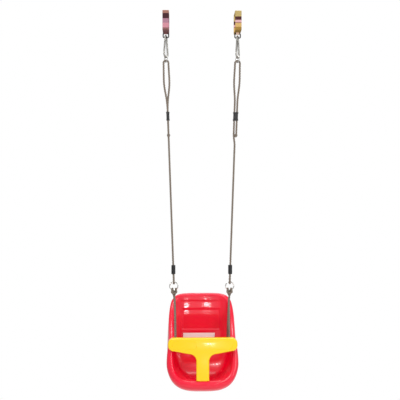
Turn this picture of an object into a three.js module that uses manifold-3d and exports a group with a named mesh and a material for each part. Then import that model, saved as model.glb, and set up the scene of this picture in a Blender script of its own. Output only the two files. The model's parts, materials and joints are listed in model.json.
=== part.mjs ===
// Toddler bucket swing with its rope suspension, in millimetres, +Z up, the front of the seat facing -Y.
// The origin is on top of the beam that carries the swing, half-way between its two webbing straps.
import * as THREE from 'three';
import { mergeVertices } from 'three/addons/utils/BufferGeometryUtils.js';
import Module from 'manifold-3d';

const wasm = await Module();
wasm.setup();

// ---- driving sizes -------------------------------------------------------------------------------
const GAP = 0.35;            // clearance left between separate pieces

const BEAM = 90;             // square beam the straps go round
const STRAP_X = 175.7;       // strap centre from the middle
const STRAP_WIDTH = 31;
const STRAP_THICK = 3;
const STRAP_CORNER = 5;
const TONGUE_WIDTH = 15;

const EYE_WIRE = 2.9;        // radius
const EYE_HALF_WIDTH = 13.4;
const EYE_TOP = -98.5;
const EYE_BOTTOM = -120;

const HOOK_WIRE = 4.5;       // radius
const HOOK_YAW = 67;         // degrees between the hook's plane and the XZ plane
const HOOK_TOP_BEND = 8;
const HOOK_FOOT_BEND = 20.5;
const HOOK_FOOT = -217.5;    // centre of the wire at the bottom of the hook
const NOSE_LENGTH = 19;
const GATE_LENGTH = 44;
const PIN_RADIUS = 1.5;

const TOP_RING = 15.5;       // centre-line radius
const LOWER_RING = 20;
const RING_WIRE = 2.5;       // radius
const RING_PLAY = 1.3;       // the ring's wire stands this far off the hook's
const TOP_RING_TURN = 28;    // degrees, its axis from X

const ROPE = 5;              // radius
const LOOP_BEND = 12;
const STRAND_APART = 6.3;    // half the distance between the strands in the adjuster
const ADJUSTER_Z = -505;
const KNOT_Z = -598;
const LOWER_X = 137;         // lower ring centre from the middle
const SEAT_PIVOT_Z = -1316;  // top of the lower ring, where the rope eye carries it
const SLEEVE_TOP = -1233;
const SLEEVE_BOTTOM = -1278;
const SLEEVE_RADIUS = 10;

const SEAT_Y = -16;          // middle of the seat, fore and aft
const WALL = 13.5;           // half the thickness of the double wall
const HOLLOW = 10;           // half the thickness of the hollow inside it
const BOWL_BOTTOM = -1813.5; // middle of the double wall
const BOWL_CORNER = 112;
const SIDE_LIFT = 30;        // how much higher the floor stands at the sides than in the middle
const BELLY = 7;             // how far the tall walls bulge out below the rim
const FLOOR_END = 0.3;       // shares of the way from the middle of the floor to the rim
const CORNER_END = 0.75;
const OUTER_ROWS = [0.12, 0.3, 0.39, 0.48, 0.57, 0.66, 0.75, 0.88, 1];
const HOLLOW_ROWS = [0.15, 0.3, 0.45, 0.6, 0.75, 1];
// right-hand half of the rim, middle of the wall, from the front lip to the top of the back
const RIM = [
  [0, -141.5, -1771.5], [40, -141.5, -1771.5], [75, -141.2, -1769.5], [100, -140, -1763],
  [120, -136.5, -1751], [136, -130, -1732], [146, -121, -1705], [151, -113, -1672],
  [152.5, -106, -1640], [151, -98, -1616], [149, -84, -1605], [148, -62, -1599],
  [148, -35, -1588], [148.5, 0, -1570], [149.5, 30, -1551], [150, 60, -1527],
  [149.5, 86, -1500], [147, 105, -1474], [143, 117, -1450], [136, 126, -1428],
  [122, 133.5, -1412.5], [103, 138.5, -1405.5], [70, 141, -1402], [0, 141.5, -1401.5],
];

const STRAND_X = 128;        // the seat ropes run straight down inside the side walls
const HITCH_Z = -1355;
const FRONT_LUG = [-97, -1603];
const REAR_LUG = [70, -1617];
const LUG_DEPTH = 18;

const BAR_FRONT = -152;      // from the middle of the seat
const BAR_DEPTH = 32;
const BAR_HALF = 162;
const BAR_TOP = -1558;
const BAR_END_BOTTOM = -1618;
const BAR_MID_BOTTOM = -1632;
const STEM_HALF = 30;
const STEM_FILLET = 33;
const STEM_FOOT = -1757.4;
const TONGUE_DEPTH = 10;
const EAR_TOP = -1569;
const EAR_BOTTOM = -1585;

const SIDES = { left: -1, right: 1 };

// ---- small helpers -------------------------------------------------------------------------------
const rad = (degrees) => degrees * Math.PI / 180;
const vec = (x, y, z) => new THREE.Vector3(x, y, z);

function plain(geometry) {
  const g = geometry.index ? geometry.clone() : geometry;
  g.deleteAttribute('normal');
  g.deleteAttribute('uv');
  return mergeVertices(g, 1e-4);
}

function solid(geometry) {
  const g = plain(geometry);
  const made = (triVerts) => new wasm.Manifold(new wasm.Mesh({
    numProp: 3,
    vertProperties: new Float32Array(g.attributes.position.array),
    triVerts: new Uint32Array(triVerts),
  }));
  const body = made(g.index.array);
  return body.volume() < 0 ? made([...g.index.array].reverse()) : body;
}

function geometryOf(body) {
  const mesh = body.getMesh();
  const g = new THREE.BufferGeometry();
  const points = new Float32Array(mesh.numVert * 3);
  for (let i = 0; i < mesh.numVert; i++) {
    for (let k = 0; k < 3; k++) points[3 * i + k] = mesh.vertProperties[mesh.numProp * i + k];
  }
  g.setAttribute('position', new THREE.BufferAttribute(points, 3));
  g.setIndex(new THREE.BufferAttribute(new Uint32Array(mesh.triVerts), 1));
  return g;
}

function union(bodies) {
  return bodies.reduce((sum, body) => sum.add(body));
}

// closed body from rings of points that all have the same count, fanned shut at both ends
function skin(rings, firstCentre, lastCentre) {
  const count = rings[0].length;
  const points = rings.flat().flatMap((p) => [p.x, p.y, p.z]);
  const first = rings.length * count;
  points.push(...firstCentre.toArray(), ...lastCentre.toArray());
  const triangles = [];
  for (let i = 0; i + 1 < rings.length; i++) {
    for (let k = 0; k < count; k++) {
      const a = i * count + k;
      const b = i * count + (k + 1) % count;
      triangles.push(a, b, b + count, a, b + count, a + count);
    }
  }
  for (let k = 0; k < count; k++) {
    const next = (k + 1) % count;
    const last = (rings.length - 1) * count;
    triangles.push(first, next, k, first + 1, last + k, last + next);
  }
  const g = new THREE.BufferGeometry();
  g.setAttribute('position', new THREE.Float32BufferAttribute(points, 3));
  g.setIndex(triangles);
  return g;
}

// round bar of one radius along a line of points, with flat ends
function bar(path, radius, sides = 8) {
  const rings = [];
  let across = null;
  path.forEach((point, i) => {
    const before = path[Math.max(i - 1, 0)];
    const after = path[Math.min(i + 1, path.length - 1)];
    const along = after.clone().sub(before).normalize();
    if (!across) {
      across = Math.abs(along.y) < 0.9 ? vec(0, 1, 0) : vec(1, 0, 0);
    }
    across = across.clone().addScaledVector(along, -across.dot(along)).normalize();
    const up = along.clone().cross(across);
    const ring = [];
    for (let k = 0; k < sides; k++) {
      const turn = 2 * Math.PI * k / sides;
      ring.push(point.clone()
        .addScaledVector(across, radius * Math.cos(turn))
        .addScaledVector(up, radius * Math.sin(turn)));
    }
    rings.push(ring);
  });
  return solid(skin(rings, path[0], path[path.length - 1]));
}

function arc(centre, radius, from, to, steps, toPoint) {
  const points = [];
  for (let i = 0; i <= steps; i++) {
    const turn = rad(from + (to - from) * i / steps);
    points.push(toPoint(centre[0] + radius * Math.cos(turn), centre[1] + radius * Math.sin(turn)));
  }
  return points;
}

function block(x0, x1, y0, y1, z0, z1) {
  const g = new THREE.BoxGeometry(x1 - x0, y1 - y0, z1 - z0);
  g.translate((x0 + x1) / 2, (y0 + y1) / 2, (z0 + z1) / 2);
  return solid(g);
}

function ball(centre, sizeX, sizeY, sizeZ, around = 10, down = 6) {
  const g = new THREE.SphereGeometry(1, around, down);
  g.rotateX(Math.PI / 2);
  g.scale(sizeX, sizeY, sizeZ);
  g.translate(centre.x, centre.y, centre.z);
  return solid(g);
}

function roundedRectangle(halfWidth, halfHeight, corner) {
  const shape = new THREE.Shape();
  const w = halfWidth - corner;
  const h = halfHeight - corner;
  shape.absarc(w, h, corner, 0, rad(90));
  shape.absarc(-w, h, corner, rad(90), rad(180));
  shape.absarc(-w, -h, corner, rad(180), rad(270));
  shape.absarc(w, -h, corner, rad(270), rad(360));
  return shape;
}

function ring(radius, wire, centre, axisTurn, segments = 22) {
  const g = new THREE.TorusGeometry(radius, wire, 8, segments);
  g.rotateX(Math.PI / 2);
  g.rotateZ(rad(axisTurn + 90));
  g.translate(centre.x, centre.y, centre.z);
  return solid(g);
}

const group = new THREE.Group();
function place(name, body, color, roughness, metalness) {
  const material = new THREE.MeshStandardMaterial({ color, roughness, metalness });
  const mesh = new THREE.Mesh(geometryOf(body), material);
  mesh.name = name;
  group.add(mesh);
}

// ---- strap, eye, hook ----------------------------------------------------------------------------
function strap(x) {
  const half = BEAM / 2;
  const outline = roundedRectangle(half + STRAP_THICK, half + STRAP_THICK, STRAP_CORNER);
  outline.holes.push(roundedRectangle(half, half, 1.5));
  const g = new THREE.ExtrudeGeometry(outline, { depth: STRAP_WIDTH, bevelEnabled: false, curveSegments: 3 });
  g.rotateX(Math.PI / 2);
  g.rotateZ(Math.PI / 2);
  g.translate(x - STRAP_WIDTH / 2, 0, -half);
  const fold = new THREE.CylinderGeometry(EYE_WIRE + 3, EYE_WIRE + 3, TONGUE_WIDTH, 16);
  fold.rotateZ(Math.PI / 2);
  fold.translate(x, 0, EYE_TOP);
  const neck = block(x - TONGUE_WIDTH / 2, x + TONGUE_WIDTH / 2, -4, 4, EYE_TOP, -BEAM - 1);
  const bore = new THREE.CylinderGeometry(EYE_WIRE + GAP, EYE_WIRE + GAP, TONGUE_WIDTH + 2, 14);
  bore.rotateZ(Math.PI / 2);
  bore.translate(x, 0, EYE_TOP);
  return solid(g).add(solid(fold)).add(neck).subtract(solid(bore));
}

function strapEye(x) {
  const corner = 5;
  const w = EYE_HALF_WIDTH - corner;
  const top = EYE_TOP - corner;
  const bottom = EYE_BOTTOM + corner;
  const at = (u, v) => vec(x + u, 0, v);
  const path = [
    ...arc([w, top], corner, 90, 0, 4, at),
    ...arc([w, bottom], corner, 0, -90, 4, at),
    ...arc([-w, bottom], corner, -90, -180, 4, at),
    ...arc([-w, top], corner, 180, 90, 4, at),
  ];
  const half = bar([...path.slice(0, 11)], EYE_WIRE);
  const rest = bar([...path.slice(9), path[0], path[1]], EYE_WIRE);
  return half.add(rest);
}

// the hook is drawn in its own upright plane: u across it, v = height
function hookPoint(x) {
  const turn = rad(HOOK_YAW);
  return (u, v, out = 0) => vec(
    x + u * Math.cos(turn) - out * Math.sin(turn), u * Math.sin(turn) + out * Math.cos(turn), v);
}

const HOOK_TOP = EYE_BOTTOM + EYE_WIRE + GAP + HOOK_WIRE - HOOK_TOP_BEND;
const HOOK_LOW = HOOK_FOOT + HOOK_FOOT_BEND;
const FLARE = Math.asin((HOOK_FOOT_BEND - HOOK_TOP_BEND) / (HOOK_TOP - HOOK_LOW)) * 180 / Math.PI;

// a point on the centre of the gate's side, measured down from where the top bend ends
function gateSide(distance) {
  const a = rad(FLARE);
  return [
    -HOOK_TOP_BEND * Math.cos(a) - distance * Math.sin(a),
    HOOK_TOP + HOOK_TOP_BEND * Math.sin(a) - distance * Math.cos(a),
  ];
}

const PIVOT_AT = NOSE_LENGTH + 0.5 + GATE_LENGTH;

function pinSolid(x, radius, halfLength) {
  const at = hookPoint(x);
  const [u, v] = gateSide(PIVOT_AT);
  return bar([at(u, v, -halfLength), at(u, v, halfLength)], radius, 12);
}

// slab in the hook's plane, between two distances down the gate's side
function slab(x, from, to, halfWidth, halfThick) {
  const at = hookPoint(x);
  const a = rad(FLARE);
  const corners = [];
  for (const distance of [from, to]) {
    const [u, v] = gateSide(distance);
    const ringPoints = [];
    for (const [across, out] of [[-1, -1], [1, -1], [1, 1], [-1, 1]]) {
      ringPoints.push(at(
        u + across * halfWidth * Math.cos(a), v - across * halfWidth * Math.sin(a), out * halfThick));
    }
    corners.push(ringPoints);
  }
  const middle = (points) => points.reduce((s, p) => s.add(p), vec(0, 0, 0)).multiplyScalar(0.25);
  return solid(skin([corners[0], corners[1]], middle(corners[0]), middle(corners[1])));
}

function hookBody(x) {
  const at = hookPoint(x);
  const [noseU, noseV] = gateSide(NOSE_LENGTH);
  const [endU, endV] = gateSide(PIVOT_AT + 5);
  const path = [
    at(noseU, noseV),
    ...arc([0, HOOK_TOP], HOOK_TOP_BEND, 180 - FLARE, FLARE, 7, at),
    ...arc([0, HOOK_LOW], HOOK_FOOT_BEND, FLARE, -180 - FLARE, 12, at),
    at(endU, endV),
  ];
  const tongue = slab(x, PIVOT_AT - 3.6, PIVOT_AT + 9, 3.6, 1.7);
  const body = bar(path, HOOK_WIRE, 10).add(tongue);
  return body.subtract(pinSolid(x, PIN_RADIUS + 0.1, 8));
}

function hookGate(x) {
  const at = hookPoint(x);
  const [topU, topV] = gateSide(NOSE_LENGTH + 0.5);
  const [endU, endV] = gateSide(PIVOT_AT + 3.4);
  const body = bar([at(topU, topV), at(endU, endV)], HOOK_WIRE - 0.4, 10);
  const slot = slab(x, PIVOT_AT - 5.6, PIVOT_AT + 8, 8, 1.7 + GAP);
  return body.subtract(slot).subtract(pinSolid(x, PIN_RADIUS + 0.1 + GAP, 8));
}

// ---- ropes ---------------------------------------------------------------------------------------
const TOP_RING_Z = HOOK_FOOT + HOOK_WIRE + RING_WIRE + RING_PLAY - TOP_RING;
const LOOP_TOP = TOP_RING_Z - TOP_RING + RING_WIRE + ROPE + GAP;

// middle of the rope's run at a height: it leans in from the hook to the lower ring
function runX(side, z) {
  const share = (z - LOOP_TOP) / (SEAT_PIVOT_Z - LOOP_TOP);
  return side * (STRAP_X + (LOWER_X - STRAP_X) * share);
}

function smooth(from, to, value) {
  const t = Math.min(Math.max((value - from) / (to - from), 0), 1);
  return t * t * (3 - 2 * t);
}

// half the distance between the two strands of the top loop at a height
function strandApart(z) {
  if (z > -330) return LOOP_BEND + 1.5 * smooth(LOOP_TOP - LOOP_BEND, -330, z);
  if (z > -440) return 13.5 + (STRAND_APART - 13.5) * smooth(-330, -440, z);
  if (z > -566) return STRAND_APART;
  return STRAND_APART * (1 - smooth(-566, -640, z));
}

// the left loop turns a quarter on its way down, so its adjuster stands edge on to the front
function strandTurn(side, z) {
  return side < 0 ? rad(90) * smooth(-262, -440, z) : 0;
}

function strandPoint(side, strand, z) {
  const turn = strandTurn(side, z);
  const apart = strand * strandApart(z);
  return vec(runX(side, z) + apart * Math.cos(turn), apart * Math.sin(turn), z);
}

function mainRope(side) {
  const heights = [-255, -275, -300, -330, -355, -380, -405, -430, -446, -560, -580];
  const tail = heights.map((z) => strandPoint(side, 1, z));
  const bendAt = LOOP_TOP - LOOP_BEND;
  const bend = arc([runX(side, bendAt), bendAt], LOOP_BEND, 0, 180, 8, (u, v) => vec(u, 0, v));
  const standing = [...heights, -600, -625, -645].map((z) => strandPoint(side, -1, z));
  const foot = vec(runX(side, -1250), 0, -1250);
  const rope = bar([...tail.reverse(), ...bend, ...standing, foot, vec(runX(side, -1262), 0, -1262)], ROPE);
  const eyeBend = RING_WIRE + ROPE + GAP;
  const down = (y, z) => vec(side * LOWER_X + (runX(side, z) - runX(side, SEAT_PIVOT_Z)), y, z);
  const eyePath = [
    down(-1, -1255), down(-2.5, -1275), down(-5.5, -1292), down(-7.6, -1305),
    ...arc([0, SEAT_PIVOT_Z], eyeBend, 180, 360, 8, (u, v) => vec(side * LOWER_X, u, v)),
    down(7.6, -1305), down(5.5, -1292), down(2.5, -1275), down(1, -1255),
  ];
  const knot = ball(vec(runX(side, KNOT_Z), 0, KNOT_Z), 10, 9, 10);
  const whole = rope.add(bar(eyePath, ROPE)).add(knot);
  return whole.decompose().sort((a, b) => b.volume() - a.volume())[0];
}

function ropeSleeve(side) {
  const top = SLEEVE_TOP;
  const bottom = SLEEVE_BOTTOM;
  const profile = [
    [0, top], [7.5, top], [SLEEVE_RADIUS - 0.7, top - 2.5], [SLEEVE_RADIUS, top - 5],
    [SLEEVE_RADIUS, bottom + 6], [SLEEVE_RADIUS - 0.9, bottom + 2.5], [SLEEVE_RADIUS - 2, bottom], [0, bottom],
  ];
  const g = new THREE.LatheGeometry(profile.reverse().map(([r, z]) => new THREE.Vector2(r, z)), 14);
  g.rotateX(Math.PI / 2);
  g.translate(runX(side, (top + bottom) / 2), 0, 0);
  const wide = ROPE + 2 * GAP;
  const down = (y, z) => vec(runX(side, z), y, z);
  const bores = union([
    bar([down(0, top + 4), down(0, -1262)], wide),
    bar([down(-1, -1253), down(-2.5, -1275), down(-3.4, -1280)], wide),
    bar([down(1, -1253), down(2.5, -1275), down(3.4, -1280)], wide),
  ]);
  return solid(g).subtract(bores);
}

function ropeAdjuster(side) {
  const middle = roundedRectangle(11.8, 7, 5);
  const flange = roundedRectangle(13.5, 8.5, 5);
  const parts = [[middle, -20, 20], [flange, -20.5, -14.5], [flange, 14.5, 20.5]].map(([shape, from, to]) => {
    const g = new THREE.ExtrudeGeometry(shape, { depth: to - from, bevelEnabled: false, curveSegments: 3 });
    g.translate(0, 0, from);
    return solid(g);
  });
  const bores = [-1, 1].map((k) => bar(
    [vec(k * STRAND_APART, 0, -25), vec(k * STRAND_APART, 0, 25)], ROPE + GAP, 10));
  const body = geometryOf(union(parts).subtract(union(bores)));
  const lean = Math.atan2(runX(side, -400) - runX(side, -600), 200);
  if (side < 0) body.rotateZ(Math.PI / 2);
  body.rotateY(lean);
  body.translate(runX(side, ADJUSTER_Z), 0, ADJUSTER_Z);
  return solid(body);
}

function seatRope(side) {
  const x = side * STRAND_X;
  const lump = ball(vec(side * (LOWER_X - 1), 0, HITCH_Z), 16.5, 14, 20, 12, 8);
  const ends = [[FRONT_LUG, -1], [REAR_LUG, 1]].map(([[lugY, lugZ], way]) => {
    const start = vec(x, way * 5, HITCH_Z - 8);
    const lug = vec(x, SEAT_Y + lugY, lugZ);
    const along = lug.clone().sub(start).normalize();
    const stop = lug.clone().addScaledVector(along, LUG_DEPTH / 2 + 9.5);
    return bar([start, stop], ROPE).add(ball(stop, 6.8, 6.8, 7.5, 10, 6));
  });
  const wireRoom = ring(LOWER_RING, RING_WIRE + GAP, vec(side * LOWER_X, 0, SEAT_PIVOT_Z - LOWER_RING), 90);
  return lump.add(ends[0]).add(ends[1]).subtract(wireRoom);
}

// the line the front strand follows from the hitch to its lug, which the T-bar also slides along
function frontStrand() {
  const start = vec(0, -5, HITCH_Z - 8);
  const end = vec(0, SEAT_Y + FRONT_LUG[0], FRONT_LUG[1]);
  return { start, along: end.clone().sub(start).normalize() };
}

// ---- seat ----------------------------------------------------------------------------------------
function rimCurve() {
  const right = RIM.map(([x, y, z]) => vec(x, SEAT_Y + y, z));
  const left = RIM.slice(1, -1).reverse().map(([x, y, z]) => vec(-x, SEAT_Y + y, z));
  return new THREE.CatmullRomCurve3([...right, ...left], true, 'centripetal');
}

// a point on the middle of the double wall: along = 0 at the bottom of the bowl, 1 at the rim,
// with the flat floor up to FLOOR_END and the rounded corner up to CORNER_END
function wallPoint(rimPoint, along) {
  const reach = Math.hypot(rimPoint.x, rimPoint.y - SEAT_Y);
  const lift = SIDE_LIFT * (rimPoint.x / 150) ** 2;
  const height = rimPoint.z - BOWL_BOTTOM - lift;
  const cornerHeight = BOWL_CORNER * Math.tanh(height / BOWL_CORNER);
  const belly = BELLY * (1 - Math.exp(-((height / 150) ** 2)));
  const floor = reach + belly - BOWL_CORNER;
  const turn = Math.PI / 2 * Math.min(Math.max((along - FLOOR_END) / (CORNER_END - FLOOR_END), 0), 1);
  const wall = Math.max((along - CORNER_END) / (1 - CORNER_END), 0);
  const out = floor * Math.min(along / FLOOR_END, 1) + BOWL_CORNER * Math.sin(turn) - belly * wall ** 2;
  const up = lift * (out / reach) ** 2 + cornerHeight * (1 - Math.cos(turn)) + wall * (height - cornerHeight);
  return vec(rimPoint.x * out / reach, SEAT_Y + (rimPoint.y - SEAT_Y) * out / reach, BOWL_BOTTOM + up);
}

// closed body of one half thickness round the middle of the wall, with a rounded rim
function wallBody(half, ribs, rows, capSteps) {
  const curve = rimCurve();
  const lines = [];
  for (let i = 0; i < ribs; i++) {
    const t = i / ribs;
    const here = curve.getPointAt(t);
    const next = curve.getPointAt((t + 0.0005) % 1);
    const before = curve.getPointAt((t + 0.9995) % 1);
    const outer = [];
    const inner = [];
    let rimNormal = null;
    for (const s of rows) {
      const point = wallPoint(here, s);
      const around = wallPoint(next, s).sub(wallPoint(before, s));
      const upward = wallPoint(here, Math.min(s + 0.01, 1)).sub(wallPoint(here, s - 0.01));
      const normal = around.cross(upward).normalize();
      outer.push(point.clone().addScaledVector(normal, half));
      inner.push(point.clone().addScaledVector(normal, -half));
      rimNormal = normal;
    }
    const tangent = next.clone().sub(before).normalize();
    const beyond = tangent.cross(rimNormal).normalize().negate();
    const cap = [];
    for (let k = 1; k < capSteps; k++) {
      const turn = Math.PI * k / capSteps;
      cap.push(here.clone()
        .addScaledVector(rimNormal, half * Math.cos(turn))
        .addScaledVector(beyond, half * Math.sin(turn)));
    }
    lines.push([...outer, ...cap, ...inner.reverse()]);
  }
  const ringsOut = lines[0].map((point, k) => lines.map((line) => line[k]));
  return solid(skin(ringsOut, vec(0, SEAT_Y, BOWL_BOTTOM - half), vec(0, SEAT_Y, BOWL_BOTTOM + half)));
}

// sunk panel in the front of the back rest
function panel(grow) {
  const shape = roundedRectangle(98 + grow, 54 + grow, 16);
  const g = new THREE.ExtrudeGeometry(shape, { depth: 24, bevelEnabled: false, curveSegments: 3 });
  g.rotateX(Math.PI / 2);
  g.translate(0, SEAT_Y + 141.5 - WALL + 4 + grow, -1520);
  return solid(g);
}

const LABEL = { x0: -91, x1: 70, z0: -1640, z1: -1588 };

function labelSolid(grow, depth) {
  const face = SEAT_Y + 141.5 - WALL;
  return block(LABEL.x0 - grow, LABEL.x1 + grow, face + 1.2 - depth, face + 1.2, LABEL.z0 - grow, LABEL.z1 + grow);
}

function lug([y, z], side, along) {
  const shape = roundedRectangle(13, 12, 6);
  const g = new THREE.ExtrudeGeometry(shape, { depth: LUG_DEPTH, bevelEnabled: false, curveSegments: 3 });
  g.translate(side * (STRAND_X + 1), SEAT_Y + y, z - LUG_DEPTH / 2);
  const middle = vec(side * STRAND_X, SEAT_Y + y, z);
  const bore = bar([
    middle.clone().addScaledVector(along, -24), middle.clone().addScaledVector(along, 24)], ROPE + GAP, 14);
  return { pad: solid(g), bore };
}

function tongueSlot(grow) {
  const { along } = frontStrand();
  const top = STEM_FOOT + 6;
  const low = STEM_FOOT - TONGUE_DEPTH - grow;
  const at = (z) => SEAT_Y - 141 + (z - STEM_FOOT + TONGUE_DEPTH / 2) * along.y / along.z;
  const rings = [low, top].map((z) => {
    const y = at(z);
    const w = 20 + grow;
    const d = 4 + grow;
    return [vec(-w, y - d, z), vec(w, y - d, z), vec(w, y + d, z), vec(-w, y + d, z)];
  });
  return solid(skin(rings, vec(0, at(low), low), vec(0, at(top), top)));
}

function seatShell() {
  const lugs = [];
  for (const side of [-1, 1]) {
    for (const [lugPlace, way] of [[FRONT_LUG, -1], [REAR_LUG, 1]]) {
      const start = vec(0, way * 5, HITCH_Z - 8);
      const along = vec(0, SEAT_Y + lugPlace[0], lugPlace[1]).sub(start).normalize();
      lugs.push(lug(lugPlace, side, along));
    }
  }
  const hollow = wallBody(HOLLOW, 36, HOLLOW_ROWS, 3).subtract(panel(3.5)).subtract(labelSolid(3.5, 8).translate([0, 3.5, 0]));
  let body = wallBody(WALL, 52, OUTER_ROWS, 4);
  for (const { pad } of lugs) body = body.add(pad);
  body = body.subtract(hollow);
  for (const { bore } of lugs) body = body.subtract(bore);
  return body.subtract(panel(0)).subtract(labelSolid(0.5, 12)).subtract(tongueSlot(0.6));
}

// ---- T-bar ---------------------------------------------------------------------------------------
function barOutline() {
  const corner = 26;
  const x = BAR_HALF - corner;
  const shape = new THREE.Shape();
  shape.moveTo(-STEM_HALF, STEM_FOOT);
  shape.lineTo(STEM_HALF, STEM_FOOT);
  shape.absarc(STEM_HALF + STEM_FILLET, BAR_MID_BOTTOM - STEM_FILLET, STEM_FILLET, Math.PI, Math.PI / 2, true);
  shape.absarc(x, BAR_END_BOTTOM + corner, corner, -Math.PI / 2, 0, false);
  shape.absarc(x, BAR_TOP - corner, corner, 0, Math.PI / 2, false);
  shape.absarc(-x, BAR_TOP - corner, corner, Math.PI / 2, Math.PI, false);
  shape.absarc(-x, BAR_END_BOTTOM + corner, corner, Math.PI, 1.5 * Math.PI, false);
  shape.absarc(-STEM_HALF - STEM_FILLET, BAR_MID_BOTTOM - STEM_FILLET, STEM_FILLET, Math.PI / 2, 0, true);
  return shape;
}

function tBar() {
  const bevel = 5;
  const g = new THREE.ExtrudeGeometry(barOutline(), {
    depth: BAR_DEPTH - 2 * bevel, bevelThickness: bevel, bevelSize: bevel, bevelOffset: -bevel,
    bevelSegments: 2, curveSegments: 4,
  });
  g.rotateX(Math.PI / 2);
  g.translate(0, SEAT_Y + BAR_FRONT + BAR_DEPTH - bevel, 0);
  const front = SEAT_Y + BAR_FRONT;
  const { start, along } = frontStrand();
  const earZ = (EAR_TOP + EAR_BOTTOM) / 2;
  let body = solid(g);
  for (const side of [-1, 1]) {
    const shape = roundedRectangle(16, 28, 8);
    const ear = new THREE.ExtrudeGeometry(shape, {
      depth: EAR_TOP - EAR_BOTTOM, bevelEnabled: false, curveSegments: 4,
    });
    ear.translate(side * STRAND_X, SEAT_Y - 94, EAR_BOTTOM);
    body = body.add(solid(ear));
  }
  const pocketFront = front + 6;
  const pocketBack = front + BAR_DEPTH + 1;
  for (const side of [-1, 1]) {
    const edges = [side * 37, side * 114].sort((a, b) => a - b);
    body = body.subtract(block(edges[0], edges[1], pocketFront, pocketBack, BAR_END_BOTTOM + 5, BAR_TOP - 6));
    const t = (earZ - start.z) / along.z;
    const hole = start.clone().addScaledVector(along, t).setX(side * STRAND_X);
    body = body.subtract(bar([
      hole.clone().addScaledVector(along, -30), hole.clone().addScaledVector(along, 30)], ROPE + 1.2, 14));
  }
  body = body.subtract(block(-31, 31, pocketFront, pocketBack, BAR_MID_BOTTOM + 8, BAR_TOP - 6));
  body = body.subtract(block(-24, 24, pocketFront, pocketBack, STEM_FOOT + 12, BAR_MID_BOTTOM + 2));
  return body.add(tongueSlot(0));
}

// ---- assembly ------------------------------------------------------------------------------------
for (const [word, side] of Object.entries(SIDES)) {
  const x = side * STRAP_X;
  place(`strap_${word}`, strap(x), side < 0 ? 0xa8788a : 0xbba468, 0.9, 0);
  place(`strap_eye_${word}`, strapEye(x), 0x1c1714, 0.5, 0.2);
  place(`hook_body_${word}`, hookBody(x), 0xb4b2ac, 0.35, 1);
  place(`hook_gate_${word}`, hookGate(x), 0x8f8d88, 0.35, 1);
  place(`gate_pin_${word}`, pinSolid(x, PIN_RADIUS, 4.2), 0x9a9893, 0.35, 1);
  place(`top_ring_${word}`, ring(TOP_RING, RING_WIRE, vec(x, 0, TOP_RING_Z), TOP_RING_TURN), 0xd2d0cb, 0.25, 1);
  place(`main_rope_${word}`, mainRope(side), 0x7d7064, 0.95, 0);
  place(`rope_adjuster_${word}`, ropeAdjuster(side), 0x17171a, 0.5, 0);
  place(`rope_sleeve_${word}`, ropeSleeve(side), 0x141416, 0.6, 0);
  place(`lower_ring_${word}`,
    ring(LOWER_RING, RING_WIRE, vec(side * LOWER_X, 0, SEAT_PIVOT_Z - LOWER_RING), 90), 0xc9c8c4, 0.25, 1);
  place(`seat_rope_${word}`, seatRope(side), 0x7d7064, 0.95, 0);
}
place('seat_shell', seatShell(), 0xe1142d, 0.25, 0);
place('t_bar', tBar(), 0xffd800, 0.25, 0);
place('seat_label', labelSolid(0, 0.8).translate([0, -GAP, 0]), 0xf2f2f0, 0.5, 0);

export default group;
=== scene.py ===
"""The toddler bucket swing's looks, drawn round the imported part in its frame: millimetres, front at -Y."""

import json
import math

import bpy
import numpy as np
from mathutils import Matrix, Vector

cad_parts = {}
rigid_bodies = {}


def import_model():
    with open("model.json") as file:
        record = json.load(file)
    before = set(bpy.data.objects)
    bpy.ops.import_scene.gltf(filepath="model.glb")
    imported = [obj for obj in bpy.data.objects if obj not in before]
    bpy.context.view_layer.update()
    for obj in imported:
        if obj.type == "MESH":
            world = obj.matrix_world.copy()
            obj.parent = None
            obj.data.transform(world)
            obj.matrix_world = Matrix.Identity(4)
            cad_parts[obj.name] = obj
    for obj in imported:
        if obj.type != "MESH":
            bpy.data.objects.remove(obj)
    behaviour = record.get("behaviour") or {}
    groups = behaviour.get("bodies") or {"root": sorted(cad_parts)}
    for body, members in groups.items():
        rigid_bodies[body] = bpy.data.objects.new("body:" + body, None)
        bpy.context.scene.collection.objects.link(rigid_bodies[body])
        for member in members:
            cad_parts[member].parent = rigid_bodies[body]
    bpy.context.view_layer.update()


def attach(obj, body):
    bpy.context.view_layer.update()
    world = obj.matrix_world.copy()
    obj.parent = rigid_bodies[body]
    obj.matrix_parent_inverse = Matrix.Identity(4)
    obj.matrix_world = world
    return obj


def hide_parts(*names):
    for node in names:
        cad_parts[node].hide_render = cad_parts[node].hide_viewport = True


# ---- sizes in millimetres ----
GAP = 0.35           # clearance between separate pieces
BEAM = 90.0
STRAP_X = 175.7
STRAP_WIDTH = 31.0
STRAP_THICK = 2.8
FOLD_WIDTH = 15.0
EYE_WIRE = 2.9
EYE_HALF_WIDTH = 13.4
EYE_TOP = -98.5
EYE_BOTTOM = -120.0
HOOK_WIRE = 4.5
HOOK_YAW = 67.0
HOOK_TOP_BEND = 8.0
HOOK_FOOT_BEND = 20.5
HOOK_FOOT = -217.5
NOSE_LENGTH = 19.0
GATE_LENGTH = 44.0
TOP_RING = 15.5
LOWER_RING = 20.0
RING_WIRE = 2.5
RING_PLAY = 1.3      # the top ring's wire stands this far off the hook's
TOP_RING_TURN = 28.0
ROPE = 5.0
LOOP_BEND = 12.0
STRAND_APART = 6.3
ADJUSTER_Z = -505.0
TAIL_Z = -592.0
LOWER_X = 137.0
SEAT_PIVOT_Z = -1316.0
SLEEVE_TOP = -1233.0
SLEEVE_BOTTOM = -1278.0
SEAT_Y = -16.0
WALL = 13.5          # half of the shell's thickness
BOWL_BOTTOM = -1813.5
BOWL_CORNER = 112.0
SIDE_LIFT = 30.0     # how much higher the floor stands at the sides than in the middle
FLOOR_END = 0.3      # share of the way from the middle of the bowl to the rim that is floor
CORNER_END = 0.75    # share where the rounded corner ends and the straight wall starts
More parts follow.
